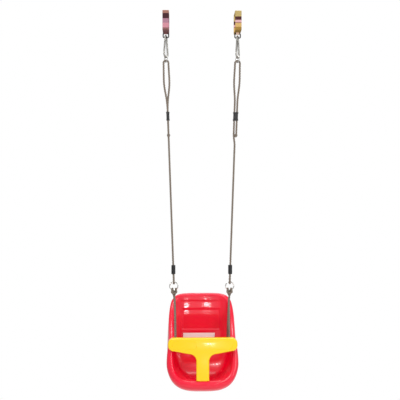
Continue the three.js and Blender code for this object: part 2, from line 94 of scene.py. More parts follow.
BELLY = 7.0          # how far the tall walls bulge out below the rim
RIM = [
    (0, -141.5, -1771.5), (40, -141.5, -1771.5), (75, -141.2, -1769.5), (100, -140, -1763),
    (120, -136.5, -1751), (136, -130, -1732), (146, -121, -1705), (151, -113, -1672),
    (152.5, -106, -1640), (151, -98, -1616), (149, -84, -1605), (148, -62, -1599),
    (148, -35, -1588), (148.5, 0, -1570), (149.5, 30, -1551), (150, 60, -1527),
    (149.5, 86, -1500), (147, 105, -1474), (143, 117, -1450), (136, 126, -1428),
    (122, 133.5, -1412.5), (103, 138.5, -1405.5), (70, 141, -1402), (0, 141.5, -1401.5),
]
STRAND_X = 128.0
HITCH_Z = -1356.0
FRONT_LUG = (-97.0, -1603.0)
REAR_LUG = (70.0, -1617.0)
LUG_HALF = (12.8, 11.8, 9.0)
LABEL_CORNERS = [(-91, -1640), (64, -1640), (70, -1588), (-91, -1588)]
BAR_FRONT = -152.0
BAR_DEPTH = 32.0
BAR_HALF = 162.0
BAR_TOP = -1558.0
BAR_END_BOTTOM = -1618.0
BAR_MID_BOTTOM = -1632.0
STEM_HALF = 30.0
STEM_FILLET = 33.0
STEM_FOOT = -1757.4
EAR_TOP = -1569.0
EAR_BOTTOM = -1585.0
EAR_HALF = 16.0
TRACK_CENTRE = (84.0, -1590.0)
TRACK_HALF = (56.0, 20.0)

ROPE_LAY = 36.0      # length of one full twist of the three strands
FLOOR_Z = -2.25      # metres; the seat hangs about 0.42 m above the ground
FLOOR_HALF = 1.05    # metres
CAMERA_DISTANCE = 3.2
FIELD_WIDTH = 1.96   # metres seen across the frame at the ropes
VIEW_TURN = 1.5      # degrees the camera stands to the left of straight ahead
LOOK_AT = (-0.0088, 0.0, -0.9148)
WORLD_STRENGTH = 0.55

ZINC = "B4B2AC"
DARK_ZINC = "8F8D88"
RING_STEEL = "D8D6D2"
BLACK_STEEL = "1C1714"
BLACK_PLASTIC = "141416"
ROPE_DARK = "5E5349"
ROPE_MIDDLE = "7D7064"
ROPE_LIGHT = "9C8F82"
RED = "F20033"
YELLOW = "FFD400"
WHITE = "F4F4F2"
PALE_FLOOR = "ECECEA"

# Colour blocks down each strap from the top of the beam. Partly the strap's own tint, partly painted light:
# the dark blocks (401820, 4A1C20) are a painted reflection, and the pale peach block at the bend under the
# beam (F0CDB8) is a painted highlight.
LEFT_TINT_AND_PAINTED_LIGHT = [(0.0, "9E6E60"), (0.16, "401820"), (0.40, "A8788A"), (0.61, "C98794"), (0.83, "885A5A")]
RIGHT_TINT_AND_PAINTED_LIGHT = [
    (0.0, "BBA468"), (0.29, "4A1C20"), (0.45, "D8A9AC"), (0.57, "8A5A3C"),
    (0.60, "D2AC68"), (0.78, "A07C34"), (0.93, "F0CDB8"),
]


# ---- small helpers ----
def linear(code):
    """sRGB hex code to linear colour."""
    channels = [int(code[i:i + 2], 16) / 255 for i in (0, 2, 4)]
    return [c / 12.92 if c <= 0.04045 else ((c + 0.055) / 1.055) ** 2.4 for c in channels] + [1.0]


def ease(start, end, value):
    t = np.clip((value - start) / (end - start), 0, 1)
    return t * t * (3 - 2 * t)


def unit(vectors):
    return vectors / np.linalg.norm(vectors, axis=-1, keepdims=True)


def catmull(points, closed=False, steps=16):
    """Smooth line through the points, spaced by the square root of their distances."""
    p = np.asarray(points, float)
    if closed:
        p = np.vstack([p[-1:], p, p[:2]])
    else:
        p = np.vstack([2 * p[:1] - p[1:2], p, 2 * p[-1:] - p[-2:-1]])
    line = []
    for a, b, c, d in zip(p[:-3], p[1:-2], p[2:-1], p[3:]):
        ab, bc, cd = (max(np.linalg.norm(v) ** 0.5, 1e-6) for v in (b - a, c - b, d - c))
        m1 = bc * ((b - a) / ab - (c - a) / (ab + bc) + (c - b) / bc)
        m2 = bc * ((c - b) / bc - (d - b) / (bc + cd) + (d - c) / cd)
        for t in np.arange(steps) / steps:
            cubic = 2 * (b - c) + m1 + m2
            square = 3 * (c - b) - 2 * m1 - m2
            line.append(b + m1 * t + square * t * t + cubic * t ** 3)
    if not closed:
        line.append(p[-2])
    return np.array(line)


def resample(line, step=None, count=None, closed=False):
    """The same line with evenly spaced points."""
    if closed:
        line = np.vstack([line, line[:1]])
    run = np.concatenate([[0], np.cumsum(np.linalg.norm(np.diff(line, axis=0), axis=1))])
    if count is None:
        count = max(int(round(run[-1] / step)) + 1, 2)
    stops = np.linspace(0, run[-1], count + 1)[:-1] if closed else np.linspace(0, run[-1], count)
    return np.stack([np.interp(stops, run, line[:, k]) for k in range(3)], axis=1)


def arc(centre, radius, start, end, count):
    turns = np.radians(np.linspace(start, end, count))
    return [(centre[0] + radius * math.cos(t), centre[1] + radius * math.sin(t)) for t in turns]


def build(name, points, faces, material, smooth=True):
    """Mesh object from points in millimetres."""
    mesh = bpy.data.meshes.new(name)
    mesh.from_pydata([tuple(p) for p in np.asarray(points) / 1000], [], faces)
    mesh.validate()
    mesh.materials.append(material)
    obj = bpy.data.objects.new(name, mesh)
    bpy.context.scene.collection.objects.link(obj)
    if smooth:
        mesh.shade_smooth()
    return obj


def grid_faces(rows, columns, first=0):
    """Quads between rings of points that each close on themselves."""
    faces = []
    for i in range(rows - 1):
        for k in range(columns):
            a = first + i * columns + k
            b = first + i * columns + (k + 1) % columns
            faces.append((a, b, b + columns, a + columns))
    return faces


def frames(path):
    """Directions across the path that don't twist along it."""
    along = unit(np.gradient(path, axis=0))
    across = np.zeros_like(path)
    seed = np.array([0, 1.0, 0]) if abs(along[0][1]) < 0.9 else np.array([1.0, 0, 0])
    for i, direction in enumerate(along):
        seed = seed - direction * seed.dot(direction)
        seed = seed / np.linalg.norm(seed)
        across[i] = seed
    return across, np.cross(along, across)


def sweep(name, path, section, material, closed=False):
    """Tube along a path: section(distance) gives the points of its outline in two directions."""
    path = np.asarray(path, float)
    across, other = frames(path)
    run = np.concatenate([[0], np.cumsum(np.linalg.norm(np.diff(path, axis=0), axis=1))])
    rings = []
    for i, point in enumerate(path):
        outline = section(run[i], run[-1])
        rings.append(point + outline[:, :1] * across[i] + outline[:, 1:] * other[i])
    columns = len(rings[0])
    points = np.vstack(rings)
    faces = grid_faces(len(rings), columns)
    if closed:
        last = (len(rings) - 1) * columns
        faces += [(last + k, last + (k + 1) % columns, (k + 1) % columns, k) for k in range(columns)]
    else:
        faces += [tuple(range(columns))[::-1], tuple(range(len(points) - columns, len(points)))]
    return build(name, points, faces, material)


def round_section(radius, sides=20, rounded_end=0.0):
    turns = np.linspace(0, 2 * math.pi, sides, endpoint=False)
    circle = np.stack([np.cos(turns), np.sin(turns)], axis=1)

    def section(here, total):
        nearest = min(here, total - here)
        if nearest >= rounded_end:
            return circle * radius
        drop = rounded_end - nearest
        return circle * (radius - rounded_end + math.sqrt(max(rounded_end ** 2 - drop ** 2, 0)) + 0.01)

    return section


def laid_section(radius, sides=30):
    """Outline of three round strands that turn as the rope runs on."""
    strand = 0.49 * radius
    offset = radius - strand
    turns = np.linspace(0, 2 * math.pi, sides, endpoint=False)
    lobe = (turns + math.pi / 3) % (2 * math.pi / 3) - math.pi / 3
    reach = offset * np.cos(lobe) + np.sqrt(np.maximum(strand ** 2 - (offset * np.sin(lobe)) ** 2, 0))

    def section(here, total):
        twist = turns + 2 * math.pi * here / ROPE_LAY
        return np.stack([reach * np.cos(twist), reach * np.sin(twist)], axis=1)

    return section


def show(obj, body, slot, *nodes):
    """Puts a piece on its body in place of CAD nodes."""
    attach(obj, body)
    if nodes:
        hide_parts(*nodes)
    return obj


def join(name, objects):
    """One mesh object from several that share the origin."""
    for obj in bpy.context.view_layer.objects:
        obj.select_set(False)
    for obj in objects:
        obj.select_set(True)
    bpy.context.view_layer.objects.active = objects[0]
    bpy.ops.object.join()
    objects[0].name = name
    return objects[0]


# ---- materials ----
def new_material(name, color, roughness, metallic=0.0, coat=0.0):
    material = bpy.data.materials.new(name)
    material.use_nodes = True
    shader = material.node_tree.nodes["Principled BSDF"]
    shader.inputs["Base Color"].default_value = color
    shader.inputs["Roughness"].default_value = roughness
    shader.inputs["Metallic"].default_value = metallic
    shader.inputs["Coat Weight"].default_value = coat
    shader.inputs["Coat Roughness"].default_value = 0.06
    return material


def add_node(material, kind, **values):
    node = material.node_tree.nodes.new(kind)
    for key, value in values.items():
        if key in node.inputs:
            node.inputs[key].default_value = value
        else:
            setattr(node, key, value)
    return node


def add_bump(material, texture, strength, distance):
    """Surface relief from a texture node's factor or colour."""
    links = material.node_tree.links
    bump = add_node(material, "ShaderNodeBump", Strength=strength, Distance=distance)
    links.new(texture.outputs[0], bump.inputs["Height"])
    links.new(bump.outputs["Normal"], material.node_tree.nodes["Principled BSDF"].inputs["Normal"])


def object_point(material, texture):
    coordinates = add_node(material, "ShaderNodeTexCoord")
    material.node_tree.links.new(coordinates.outputs["Object"], texture.inputs["Vector"])


def rope_material():
    material = new_material("rope", linear(ROPE_MIDDLE), 0.9)
    noise = add_node(material, "ShaderNodeTexNoise", Scale=420.0, Detail=4.0)
    object_point(material, noise)
    ramp = add_node(material, "ShaderNodeValToRGB")
    ramp.color_ramp.elements[0].position = 0.3
    ramp.color_ramp.elements[0].color = linear(ROPE_DARK)
    ramp.color_ramp.elements[1].position = 0.72
    ramp.color_ramp.elements[1].color = linear(ROPE_LIGHT)
    links = material.node_tree.links
    links.new(noise.outputs[0], ramp.inputs[0])
    links.new(ramp.outputs[0], material.node_tree.nodes["Principled BSDF"].inputs["Base Color"])
    add_bump(material, noise, 0.5, 0.0006)
    return material


def strap_material(name, tint_and_painted_light):
    """Webbing in flat blocks of colour from the top of the beam down, with a ribbed weave. The blocks are
    partly the strap's own tint and partly painted light: the dark block is a painted reflection, and on the
    right strap the pale peach block at the bend under the beam is a painted highlight.
    """
    material = new_material(name, linear(tint_and_painted_light[0][1]), 0.85)
    links = material.node_tree.links
    coordinates = add_node(material, "ShaderNodeTexCoord")
    split = add_node(material, "ShaderNodeSeparateXYZ")
    links.new(coordinates.outputs["Object"], split.inputs[0])
    height = add_node(material, "ShaderNodeMapRange")
    height.inputs["From Min"].default_value = 0.003
    height.inputs["From Max"].default_value = -0.1
    links.new(split.outputs["Z"], height.inputs["Value"])
    ramp = add_node(material, "ShaderNodeValToRGB")
    ramp.color_ramp.interpolation = "CONSTANT"
    elements = ramp.color_ramp.elements
    for element, (position, code) in zip(elements, tint_and_painted_light):
        element.position = position
        element.color = linear(code)
    for position, code in tint_and_painted_light[2:]:
        elements.new(position).color = linear(code)
    links.new(height.outputs[0], ramp.inputs[0])
    links.new(ramp.outputs[0], material.node_tree.nodes["Principled BSDF"].inputs["Base Color"])
    weave = add_node(material, "ShaderNodeTexWave", Scale=260.0, Distortion=1.5)
    links.new(coordinates.outputs["Object"], weave.inputs["Vector"])
    add_bump(material, weave, 0.5, 0.0005)
    return material


def metal_material(name, code, roughness):
    material = new_material(name, linear(code), roughness, metallic=1.0)
    noise = add_node(material, "ShaderNodeTexNoise", Scale=160.0, Detail=3.0)
    object_point(material, noise)
    add_bump(material, noise, 0.08, 0.0004)
    return material


def plastic_material(name, code, roughness, coat):
    material = new_material(name, linear(code), roughness, coat=coat)
    noise = add_node(material, "ShaderNodeTexNoise", Scale=18.0, Detail=2.0)
    object_point(material, noise)
    add_bump(material, noise, 0.06, 0.002)
    return material


# ---- straps, eyes and hooks ----
def rounded_loop(half_width, half_height, corner, centre):
    """Closed line round a rounded rectangle, starting at the middle of the bottom."""
    w, h = half_width - corner, half_height - corner
    u, v = centre
    points = [(u, v - half_height)]
    points += arc((u + w, v - h), corner, -90, 0, 7)
    points += arc((u + w, v + h), corner, 0, 90, 7)
    points += arc((u - w, v + h), corner, 90, 180, 7)
    points += arc((u - w, v - h), corner, 180, 270, 7)
    return points


def strap_fold(word, x, material, body):
    """Narrow fold of webbing that hangs from the strap and holds the eye."""
    line = [(-2.2, -BEAM - 1), (-4.4, EYE_TOP + 3)]
    line += arc((0, EYE_TOP), 4.6, 180, 360, 11)
    line += [(4.4, EYE_TOP + 3), (2.2, -BEAM - 1)]
    path = resample(catmull([(x, y, z) for y, z in line]), step=1.0)
    half = FOLD_WIDTH / 2
    flat = np.array([(-half, -1.1), (half, -1.1), (half, 1.1), (-half, 1.1)])
    ends = np.gradient(path, axis=0)
    out = unit(np.stack([np.zeros(len(ends)), -ends[:, 2], ends[:, 1]], axis=1))
    points = np.vstack([
        p + flat[:, :1] * np.array([1.0, 0, 0]) + flat[:, 1:] * n for p, n in zip(path, out)])
    faces = grid_faces(len(path), 4)
    faces += [(0, 1, 2, 3), tuple(range(len(points) - 4, len(points)))]
    fold = build(f"strap_fold_{word}", points, faces, material, smooth=False)
    show(fold, body, f"strap_{word}")


def strap(word, side, material, body="beam_straps"):
    x = side * STRAP_X
    half = BEAM / 2
    middle = half + STRAP_THICK / 2
    loop = rounded_loop(middle, middle, 4.5, (0, -half))
    path = np.array([(x, y, z) for y, z in loop])
    edge = 0.9
    outline = np.array([
        (-STRAP_THICK / 2 + edge, -STRAP_WIDTH / 2), (STRAP_THICK / 2 - edge, -STRAP_WIDTH / 2),
        (STRAP_THICK / 2, -STRAP_WIDTH / 2 + edge), (STRAP_THICK / 2, STRAP_WIDTH / 2 - edge),
        (STRAP_THICK / 2 - edge, STRAP_WIDTH / 2), (-STRAP_THICK / 2 + edge, STRAP_WIDTH / 2),
        (-STRAP_THICK / 2, STRAP_WIDTH / 2 - edge), (-STRAP_THICK / 2, -STRAP_WIDTH / 2 + edge),
    ])
    normal = []
    for i in range(len(path)):
        run = path[(i + 1) % len(path)] - path[i - 1]
        normal.append((0.0, -run[2], run[1]))
    normal = unit(np.array(normal))
    points = np.vstack([
        p + outline[:, :1] * n + outline[:, 1:] * np.array([1.0, 0, 0]) for p, n in zip(path, normal)])
    columns = len(outline)
    faces = grid_faces(len(path), columns)
    last = (len(path) - 1) * columns
    faces += [(last + k, last + (k + 1) % columns, (k + 1) % columns, k) for k in range(columns)]
    band = build(f"strap_band_{word}", points, faces, material, smooth=False)
    strap_fold(word, x, material, body)
    return show(band, body, f"strap_{word}", f"strap_{word}")


def strap_eye(word, side, material):
    height = (EYE_TOP - EYE_BOTTOM) / 2
    loop = rounded_loop(EYE_HALF_WIDTH, height, 5.5, (side * STRAP_X, EYE_TOP - height))
    path = resample(np.array([(u, 0, v) for u, v in loop]), count=72, closed=True)
    eye = sweep(f"eye_{word}", path, round_section(EYE_WIRE), material, closed=True)
    return show(eye, "hangers", "strap_eye", f"strap_eye_{word}")


def hook_point(side, u, v, out=0.0):
    turn = math.radians(HOOK_YAW)
    x = side * STRAP_X + u * math.cos(turn) - out * math.sin(turn)
    return (x, u * math.sin(turn) + out * math.cos(turn), v)


HOOK_TOP = EYE_BOTTOM + EYE_WIRE + GAP + HOOK_WIRE - HOOK_TOP_BEND
HOOK_LOW = HOOK_FOOT + HOOK_FOOT_BEND
FLARE = math.degrees(math.asin((HOOK_FOOT_BEND - HOOK_TOP_BEND) / (HOOK_TOP - HOOK_LOW)))
PIVOT_AT = NOSE_LENGTH + 0.5 + GATE_LENGTH


def gate_side(distance):
    a = math.radians(FLARE)
    u = -HOOK_TOP_BEND * math.cos(a) - distance * math.sin(a)
    return u, HOOK_TOP + HOOK_TOP_BEND * math.sin(a) - distance * math.cos(a)


def hook(word, side, steel, gate_steel):
    line = [gate_side(NOSE_LENGTH), gate_side(NOSE_LENGTH / 2)]
    line += arc((0, HOOK_TOP), HOOK_TOP_BEND, 180 - FLARE, FLARE, 22)
    line += arc((0, HOOK_LOW), HOOK_FOOT_BEND, FLARE, -180 - FLARE, 44)
    line += [gate_side(PIVOT_AT + 5), gate_side(PIVOT_AT + 2.5)]
    path = resample(np.array([hook_point(side, u, v) for u, v in line]), step=1.2)
    wire = sweep(f"hook_{word}", path, round_section(HOOK_WIRE, 24, 1.2), steel)
    stops = np.linspace(PIVOT_AT - 3.4, PIVOT_AT + 8, 12)
    tongue_line = np.array([hook_point(side, *gate_side(d)) for d in stops])
    tongue = sweep(f"hook_tongue_{word}", tongue_line, round_section(3.3, 16, 1.0), steel)
    show(wire, "hangers", "hook_body", f"hook_body_{word}")
    show(tongue, "hangers", "hook_body")
    stops = np.linspace(NOSE_LENGTH + 0.6, PIVOT_AT + 3.2, 40)
    gate_line = np.array([hook_point(side, *gate_side(d)) for d in stops])
    gate = sweep(f"gate_{word}", gate_line, round_section(HOOK_WIRE - 0.3, 24, 1.0), gate_steel)
    show(gate, f"gate_{word}", "hook_gate", f"hook_gate_{word}")
    u, v = gate_side(PIVOT_AT)
    pin_line = np.array([hook_point(side, u, v, out) for out in np.linspace(-5.0, 5.0, 14)])
    pin = sweep(f"pin_{word}", pin_line, round_section(1.7, 16, 0.6), steel)
    show(pin, "hangers", "gate_pin", f"gate_pin_{word}")


def ring(name, radius, centre, axis_turn, material):
    turns = np.linspace(0, 2 * math.pi, 96, endpoint=False)
    a = math.radians(axis_turn + 90)
    path = np.array([
        (centre[0] + radius * math.cos(t) * math.cos(a), centre[1] + radius * math.cos(t) * math.sin(a),
         centre[2] + radius * math.sin(t)) for t in turns])
    return sweep(name, path, round_section(RING_WIRE, 20), material, closed=True)


# ---- ropes ----
TOP_RING_Z = HOOK_FOOT + HOOK_WIRE + RING_WIRE + RING_PLAY - TOP_RING
LOOP_TOP = TOP_RING_Z - TOP_RING + RING_WIRE + ROPE + GAP


def run_x(side, z):
    share = (z - LOOP_TOP) / (SEAT_PIVOT_Z - LOOP_TOP)
    return side * (STRAP_X + (LOWER_X - STRAP_X) * share)


def strand_apart(z):
    if z > -330:
        return LOOP_BEND + 1.5 * float(ease(LOOP_TOP - LOOP_BEND, -330, z))
    if z > -440:
        return 13.5 + (STRAND_APART - 13.5) * float(ease(-330, -440, z))
    return STRAND_APART * (1 - float(ease(-590, -650, z)))


def strand_point(side, strand, z):
    turn = math.radians(90) * float(ease(-330, -480, z)) if side < 0 else 0.0
    apart = strand * strand_apart(z)
    return (run_x(side, z) + apart * math.cos(turn), apart * math.sin(turn), z)


def loop_bend(side, strand):
    """Quarter of the way round the top ring's wire, from the top of the loop to one strand."""
    centre = LOOP_TOP - LOOP_BEND
    end = 0 if strand > 0 else 180
    return [(run_x(side, centre) + u, 0, v) for u, v in arc((0, centre), LOOP_BEND, 90, end, 12)]


def knot(name, centre, size, rope, material):
    """Small overhand knot: a trefoil of rope pulled tight."""
    turns = np.linspace(0, 2 * math.pi, 90, endpoint=False)
    path = np.stack([
        size * (np.sin(turns) + 2 * np.sin(2 * turns)) / 3,
        size * -np.sin(3 * turns) / 1.6,
        size * (np.cos(turns) - 2 * np.cos(2 * turns)) / 3], axis=1)
    return sweep(name, path + np.array(centre), laid_section(rope), material, closed=True)


def main_rope(word, side, material):
    heights = np.arange(-250, TAIL_Z, -12.0)
    tail_line = loop_bend(side, 1) + [strand_point(side, 1, z) for z in [*heights, TAIL_Z]]
    tail_path = resample(catmull(tail_line, steps=6), step=1.6)
    tail = sweep(f"rope_tail_{word}", tail_path, laid_section(ROPE), material)
    end_knot = knot(f"rope_knot_{word}", strand_point(side, 0.72, TAIL_Z - 7), 5.6, 3.9, material)
    heights = np.arange(-250, -1250, -12.0)
    line = loop_bend(side, -1) + [strand_point(side, -1, z) for z in heights]
    line += [(run_x(side, -1262), 0, -1262)]
    path = resample(catmull(line, steps=6), step=1.6)
    standing = sweep(f"rope_standing_{word}", path, laid_section(ROPE), material)
    bend = RING_WIRE + ROPE + GAP
    sides = [(0.6, -1255), (2.5, -1275), (5.5, -1292), (7.6, -1305)]
    eye_line = [(run_x(side, z), -y, z) for y, z in sides]
    eye_line += [(side * LOWER_X, u, v) for u, v in arc((0, SEAT_PIVOT_Z), bend, 180, 360, 13)]
    eye_line += [(run_x(side, z), y, z) for y, z in reversed(sides)]
    eye_path = resample(catmull(eye_line, steps=6), step=1.2)
    eye = sweep(f"rope_eye_{word}", eye_path, laid_section(ROPE), material)
    show(standing, "ropes", "main_rope", f"main_rope_{word}")
    for piece in (tail, end_knot, eye):
        show(piece, "ropes", "main_rope")


def sleeve(word, side, material):
    x = run_x(side, (SLEEVE_TOP + SLEEVE_BOTTOM) / 2)
    line = np.array([(x, 0, z) for z in np.linspace(SLEEVE_TOP, SLEEVE_BOTTOM, 60)])
    tube = sweep(f"sleeve_{word}", line, round_section(9.9, 40, 3.0), material)
    return show(tube, "ropes", "rope_sleeve", f"rope_sleeve_{word}")


def adjuster(word, side, material):
    """Two-hole slider: flanged at both ends, waisted between, with a groove down its faces."""
    upper = [(14.2, 0.87), (15.2, 1.0), (19.7, 1.0), (20.5, 0.90)]
    heights = [(-dz, scale) for dz, scale in reversed(upper)] + upper
    turns = np.linspace(0, 2 * math.pi, 64, endpoint=False)
    wide = 13.4 * np.sign(np.cos(turns)) * np.abs(np.cos(turns)) ** 0.45
    deep = 8.4 * np.sign(np.sin(turns)) * np.abs(np.sin(turns)) ** 0.6
    groove = 1.6 * np.exp(-(wide / 3.0) ** 2)
    deep = np.sign(deep) * np.maximum(np.abs(deep) - groove, 0)
    if side < 0:
        wide, deep = -deep, wide
    lean = (run_x(side, -600) - run_x(side, -400)) / -200
    rings = []
    for dz, scale in heights:
        x = run_x(side, ADJUSTER_Z) + dz * lean
        rings.append(np.stack([x + wide * scale, deep * scale, np.full(64, ADJUSTER_Z + dz)], axis=1))
    points = np.vstack(rings)
    faces = grid_faces(len(rings), 64)
    faces += [tuple(range(64))[::-1], tuple(range(len(points) - 64, len(points)))]
    obj = build(f"adjuster_{word}", points, faces, material, smooth=False)
    return show(obj, f"adjuster_{word}", "rope_adjuster", f"rope_adjuster_{word}")


def hitch_line(side):
    """Cow hitch round the bottom of the lower ring, from one standing part to the other."""
    half = [
        (0, -13.6, -13.5), (7.5, -13.2, -12), (11.4, -11, -6), (9.8, -8.5, 1), (8.6, 0, 7.9),
        (7.2, 8.3, 0.5), (6.2, 7.8, -9), (4.6, 3, -17),
    ]
    left = [(-x, y, z) for x, y, z in reversed(half)]
    line = [(-0.5, -5.2, -28)] + left + half[1:] + [(0.5, 5.2, -28)]
    centre = side * (LOWER_X - 1.5)
    return [(centre + x, y, HITCH_Z + z) for x, y, z in line]


def seat_rope(word, side, material):
    line = hitch_line(side)
    hitch_path = resample(catmull(line, steps=8), step=1.2)
    hitch = sweep(f"hitch_{word}", hitch_path, laid_section(ROPE), material)
    show(hitch, "seat", "seat_rope", f"seat_rope_{word}")
    lump = knot(f"hitch_knot_{word}", (side * (LOWER_X - 1.5), 0, HITCH_Z - 11), 10.5, ROPE, material)
    show(lump, "seat", "seat_rope")
    starts = (line[0], line[-1])
    for label, start, (lug_y, lug_z) in (("front", starts[0], FRONT_LUG), ("rear", starts[1], REAR_LUG)):
        lug = np.array([side * STRAND_X, SEAT_Y + lug_y, lug_z])
        first = np.array(start)
        along = unit(lug - first)
        middle = first + along * 22 + np.array([side * (STRAND_X - LOWER_X) * 0.2, 0, 0])
        stop = lug + along * 17
        path = resample(catmull([first, middle, lug, stop], steps=20), step=1.6)
        strand = sweep(f"strand_{label}_{word}", path, laid_section(ROPE), material)
        end = knot(f"stop_knot_{label}_{word}", stop, 4.2, 2.9, material)
        show(strand, "seat", "seat_rope")
        show(end, "seat", "seat_rope")


# ---- seat ----
def rim_line(count):
    right = [(x, SEAT_Y + y, z) for x, y, z in RIM]
    left = [(-x, y, z) for x, y, z in reversed(right[1:-1])]
    return resample(catmull(right + left, closed=True, steps=40), count=count, closed=True)


def wall_points(rim, along):
    """Points on the middle of the double wall: along runs 0 at the bottom to 1 at the rim."""
    flat = rim - np.array([0, SEAT_Y, 0])
    reach = np.hypot(flat[:, 0], flat[:, 1])
    lift = SIDE_LIFT * (flat[:, 0] / 150) ** 2
    height = flat[:, 2] - BOWL_BOTTOM - lift
    corner = BOWL_CORNER * np.tanh(height / BOWL_CORNER)
    belly = BELLY * (1 - np.exp(-((height / 150) ** 2)))
    turn = math.pi / 2 * np.clip((along - FLOOR_END) / (CORNER_END - FLOOR_END), 0, 1)
    wall = max((along - CORNER_END) / (1 - CORNER_END), 0)
    level = (reach + belly - BOWL_CORNER) * min(along / FLOOR_END, 1)
    out = level + BOWL_CORNER * math.sin(turn) - belly * wall ** 2
    up = lift * (out / reach) ** 2 + corner * (1 - math.cos(turn)) + wall * (height - corner)
    return np.stack([flat[:, 0] * out / reach, SEAT_Y + flat[:, 1] * out / reach, BOWL_BOTTOM + up], axis=1)


def sunk(points):
    """How far the inner face of the back rest is sunk at each point: a shallow step, then a panel."""
    x = np.abs(points[:, 0])
    z = points[:, 2]
    back = points[:, 1] > SEAT_Y + 90

    def pane(half, low, high, soft):
        across = 1 - ease(half - soft, half, x)
        return across * ease(low, low + soft, z) * (1 - ease(high - soft, high, z))

    return back * (2.2 * pane(112, -1700, -1421, 7) + 3.2 * pane(99, -1575, -1464, 7))


def seat(material):
    count = 420
    rim = rim_line(count)
    shares = np.concatenate([
        np.linspace(0.02, FLOOR_END, 12),
        np.linspace(FLOOR_END, CORNER_END, 40)[1:],
        np.linspace(CORNER_END, 1, 90)[1:],
    ])
    outer, inner = [], []
    for s in shares:
        middle = wall_points(rim, s)
        around = np.roll(middle, -1, axis=0) - np.roll(middle, 1, axis=0)
        upward = wall_points(rim, min(s + 0.004, 1.0)) - wall_points(rim, s - 0.004)
        normal = unit(np.cross(around, upward))
        outer.append(middle + WALL * normal)
        inner.append(middle - (WALL - sunk(middle)[:, None]) * normal)
    tangent = unit(np.roll(rim, -1, axis=0) - np.roll(rim, 1, axis=0))
    beyond = -unit(np.cross(tangent, normal))
    turns = np.linspace(0, math.pi, 18)[1:-1]
    cap = [rim + WALL * (normal * math.cos(t) + beyond * math.sin(t)) for t in turns]
    rings = outer + cap + inner[::-1]
    middles = [[(0, SEAT_Y, BOWL_BOTTOM + way * WALL)] for way in (-1, 1)]
    points = np.vstack(rings + middles)
    faces = grid_faces(len(rings), count)
    bottom = len(points) - 2
    last = (len(rings) - 1) * count
    faces += [(bottom, (k + 1) % count, k) for k in range(count)]
    faces += [(bottom + 1, last + k, last + (k + 1) % count) for k in range(count)]
    return show(build("seat", points, faces, material), "seat", "seat_shell", "seat_shell")


def soft_block(name, low, high, radius, material):
    """Box with rounded edges."""
    centre = (np.array(low) + np.array(high)) / 2
    bpy.ops.mesh.primitive_cube_add(size=1, location=centre / 1000)
    obj = bpy.context.object
    obj.name = name
    obj.scale = (np.array(high) - np.array(low)) / 1000
    bpy.ops.object.transform_apply(location=True, rotation=False, scale=True)
    bevel = obj.modifiers.new("edges", "BEVEL")
    bevel.width = radius / 1000
    bevel.segments = 5
    bpy.ops.object.modifier_apply(modifier="edges")
    obj.data.materials.append(material)
    obj.data.shade_smooth()
    return obj


def rope_lugs(material):
    for side, word in ((-1, "left"), (1, "right")):
        for label, (y, z) in (("front", FRONT_LUG), ("rear", REAR_LUG)):
            x = side * (STRAND_X + 1)
            middle = np.array((x, SEAT_Y + y, z))
            low = middle - LUG_HALF
            high = middle + LUG_HALF
            show(soft_block(f"lug_{label}_{word}", low, high, 4, material), "seat", "seat_shell")


def seat_label(material):
    face = SEAT_Y + 141.5 - WALL
    front = [(x, face - 1.1, z) for x, z in LABEL_CORNERS]
    back = [(x, face - 0.2, z) for x, z in LABEL_CORNERS]
    faces = [(0, 1, 2, 3), (7, 6, 5, 4)]
    faces += [(k, k + 4, (k + 1) % 4 + 4, (k + 1) % 4) for k in range(4)]
    label = build("label", front + back, faces, material, smooth=False)
    return show(label, "seat", "seat_label", "seat_label")


# ---- T-bar ----
def bar_outline():
    corner = 26.0
    x = BAR_HALF - corner
    right = [(STEM_HALF, STEM_FOOT)]
    right += arc((STEM_HALF + STEM_FILLET, BAR_MID_BOTTOM - STEM_FILLET), STEM_FILLET, 180, 90, 14)
    right += arc((x, BAR_END_BOTTOM + corner), corner, -90, 0, 14)
    right += arc((x, BAR_TOP - corner), corner, 0, 90, 14)
    return right + [(-u, v) for u, v in reversed(right)]


def flat_curve(name, outline, depth, bevel, material):
    """Plate in the XZ plane with rounded edges, made from its outline, centred on y = 0."""
    curve = bpy.data.curves.new(name, "CURVE")
    curve.dimensions = "2D"
    curve.fill_mode = "BOTH"
    spline = curve.splines.new("POLY")
    spline.points.add(len(outline) - 1)
    for point, (u, v) in zip(spline.points, outline):
        point.co = (u / 1000, v / 1000, 0, 1)
    spline.use_cyclic_u = True
    curve.extrude = (depth / 2 - bevel) / 1000
    curve.bevel_depth = bevel / 1000
    curve.bevel_resolution = 6
    curve.offset = -bevel / 1000
    obj = bpy.data.objects.new(name, curve)
    bpy.context.scene.collection.objects.link(obj)
    evaluated = obj.evaluated_get(bpy.context.evaluated_depsgraph_get())
    mesh = bpy.data.meshes.new_from_object(evaluated)
    bpy.data.objects.remove(obj)
    mesh.transform(Matrix.Rotation(math.pi / 2, 4, "X"))
    solid = bpy.data.objects.new(name, mesh)
    bpy.context.scene.collection.objects.link(solid)
    mesh.materials.clear()
    mesh.materials.append(material)
    return solid


def cut(target, tools):
    """Takes the tools' shapes out of the target."""
    for tool in tools:
        modifier = target.modifiers.new("cut", "BOOLEAN")
        modifier.operation = "DIFFERENCE"
        modifier.solver = "EXACT"
        modifier.object = tool
    mesh = bpy.data.meshes.new_from_object(target.evaluated_get(bpy.context.evaluated_depsgraph_get()))
    target.modifiers.clear()
    target.data = mesh
    for tool in tools:
        bpy.data.objects.remove(tool)


def race_track(name, side, front, material):
    """Faint raised line on the front of each arm of the bar."""
    loop = rounded_loop(*TRACK_HALF, 19.5, (side * TRACK_CENTRE[0], TRACK_CENTRE[1]))
    path = resample(np.array([(u, front, v) for u, v in loop]), count=160, closed=True)
    return sweep(name, path, round_section(1.3, 10), material, closed=True)


